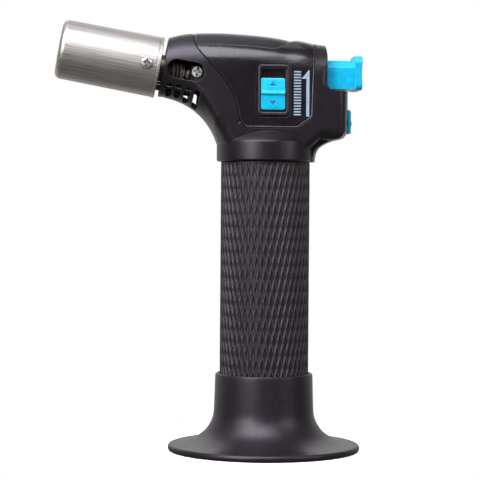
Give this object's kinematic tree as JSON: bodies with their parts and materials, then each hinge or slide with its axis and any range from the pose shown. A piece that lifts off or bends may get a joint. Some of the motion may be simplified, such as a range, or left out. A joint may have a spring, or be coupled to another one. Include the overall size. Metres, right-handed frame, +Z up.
{
  "type": "butane torch",
  "caption": "Hand-held butane torch on a round table stand, with an angled metal burner tube, thumb trigger, lock switch, flame lever and diamond rubber grip.",
  "frame": {"origin": "centre of the round underside of the stand, on the table plane", "axes": "+Z up along the grip, the burner points toward -X, the trigger is at +X, the lock switch faces -Y"},
  "size_m": [0.1311, 0.0822, 0.1829],
  "materials": {
    "stand_plastic": "moulded, fine satin texture",
    "grip_rubber": "moulded diamond pattern, matte",
    "tank_plastic": "moulded translucent grey",
    "seal_rubber": "smooth",
    "valve_brass": "turned",
    "spring_steel": "bright wire",
    "shell_plastic": "fine spark texture",
    "cover_gloss": "polished",
    "control_blue": "satin cyan",
    "acetal_white": "natural",
    "piezo_plastic": "moulded",
    "plain_steel": "ground",
    "tube_stainless": "brushed lengthwise",
    "screw_steel": "nickel plated",
    "insulator_ceramic": "glazed dark",
    "holder_metal": "dark cast",
    "hose_rubber": "smooth",
    "wire_red": "insulated",
    "screw_black": "black oxide"
  },
  "bodies": {
    "stand": {"stand_base": "stand_plastic"},
    "torch": {"grip_sleeve": "grip_rubber", "fuel_tank": "tank_plastic", "tank_cap": "tank_plastic", "tank_o_ring": "seal_rubber", "gas_valve_body": "valve_brass", "valve_spring": "spring_steel", "valve_seal": "seal_rubber", "wick_tube": "tank_plastic", "filler_valve_body": "valve_brass", "filler_seal": "seal_rubber", "filler_spring": "spring_steel", "head_shell_left": "shell_plastic", "head_shell_right": "shell_plastic", "top_cover": "cover_gloss", "top_strip": "shell_plastic", "lock_bezel": "cover_gloss", "piezo_body": "piezo_plastic", "trigger_spring": "spring_steel", "lever_pivot_pin": "plain_steel", "flame_tube": "tube_stainless", "tube_mount_disc": "plain_steel", "flame_tube_screws": "screw_steel", "mixing_tube": "tube_stainless", "burner_core": "plain_steel", "flame_mesh": "plain_steel", "electrode_insulator": "insulator_ceramic", "ignition_electrode": "spring_steel", "jet_holder": "holder_metal", "gas_jet": "valve_brass", "contact_spring": "spring_steel", "jet_holder_screw": "screw_steel", "gas_hose": "hose_rubber", "ignition_wire": "wire_red", "housing_screws": "screw_black"},
    "trigger": {"trigger": "control_blue"},
    "igniter_plunger": {"piezo_plunger": "acetal_white"},
    "gas_lever": {"valve_lever": "acetal_white"},
    "gas_valve_stem": {"valve_stem": "valve_brass"},
    "lock_switch": {"lock_slider": "control_blue", "lock_catch": "acetal_white"},
    "flame_lever": {"flame_adjuster": "control_blue"},
    "filling_valve_stem": {"filler_valve_stem": "valve_brass"}
  },
  "joints": [
    {"name": "torch_lift", "type": "slide", "parent": "stand", "child": "torch", "axis": [0, 0, 1], "range_m": [0, 0.04]},
    {"name": "trigger_slide", "type": "slide", "parent": "torch", "child": "trigger", "axis": [-1, 0, 0], "range_m": [0, 0.0065], "stiffness_N_per_m": 300, "springref_m": -0.002, "deforming": ["trigger_spring"]},
    {"name": "plunger_slide", "type": "slide", "parent": "torch", "child": "igniter_plunger", "axis": [-1, 0, 0], "range_m": [0, 0.0066]},
    {"name": "lever_hinge", "type": "hinge", "parent": "torch", "child": "gas_lever", "pos_m": [-0.0045, 0, 0.146], "axis": [0, -1, 0], "range_deg": [0, 19.8]},
    {"name": "stem_slide", "type": "slide", "parent": "torch", "child": "gas_valve_stem", "axis": [0, 0, 1], "range_m": [0, 0.00152], "deforming": ["valve_spring"]},
    {"name": "lock_slide", "type": "slide", "parent": "torch", "child": "lock_switch", "axis": [0, 0, 1], "range_m": [0, 0.0034]},
    {"name": "flame_hinge", "type": "hinge", "parent": "torch", "child": "flame_lever", "pos_m": [0, 0, 0.1407], "axis": [0, 0, 1], "range_deg": [-10, 10]},
    {"name": "filler_slide", "type": "slide", "parent": "torch", "child": "filling_valve_stem", "axis": [0, 0, 1], "range_m": [0, 0.0015], "stiffness_N_per_m": 300, "springref_m": -0.002, "deforming": ["filler_spring"]}
  ],
  "couplings": [
    {"joint": "plunger_slide", "follows": "trigger_slide", "ratio": 1},
    {"joint": "lever_hinge", "follows": "trigger_slide", "rad_per_m": 52.897},
    {"joint": "stem_slide", "follows": "trigger_slide", "ratio": 0.23077}
  ]
}
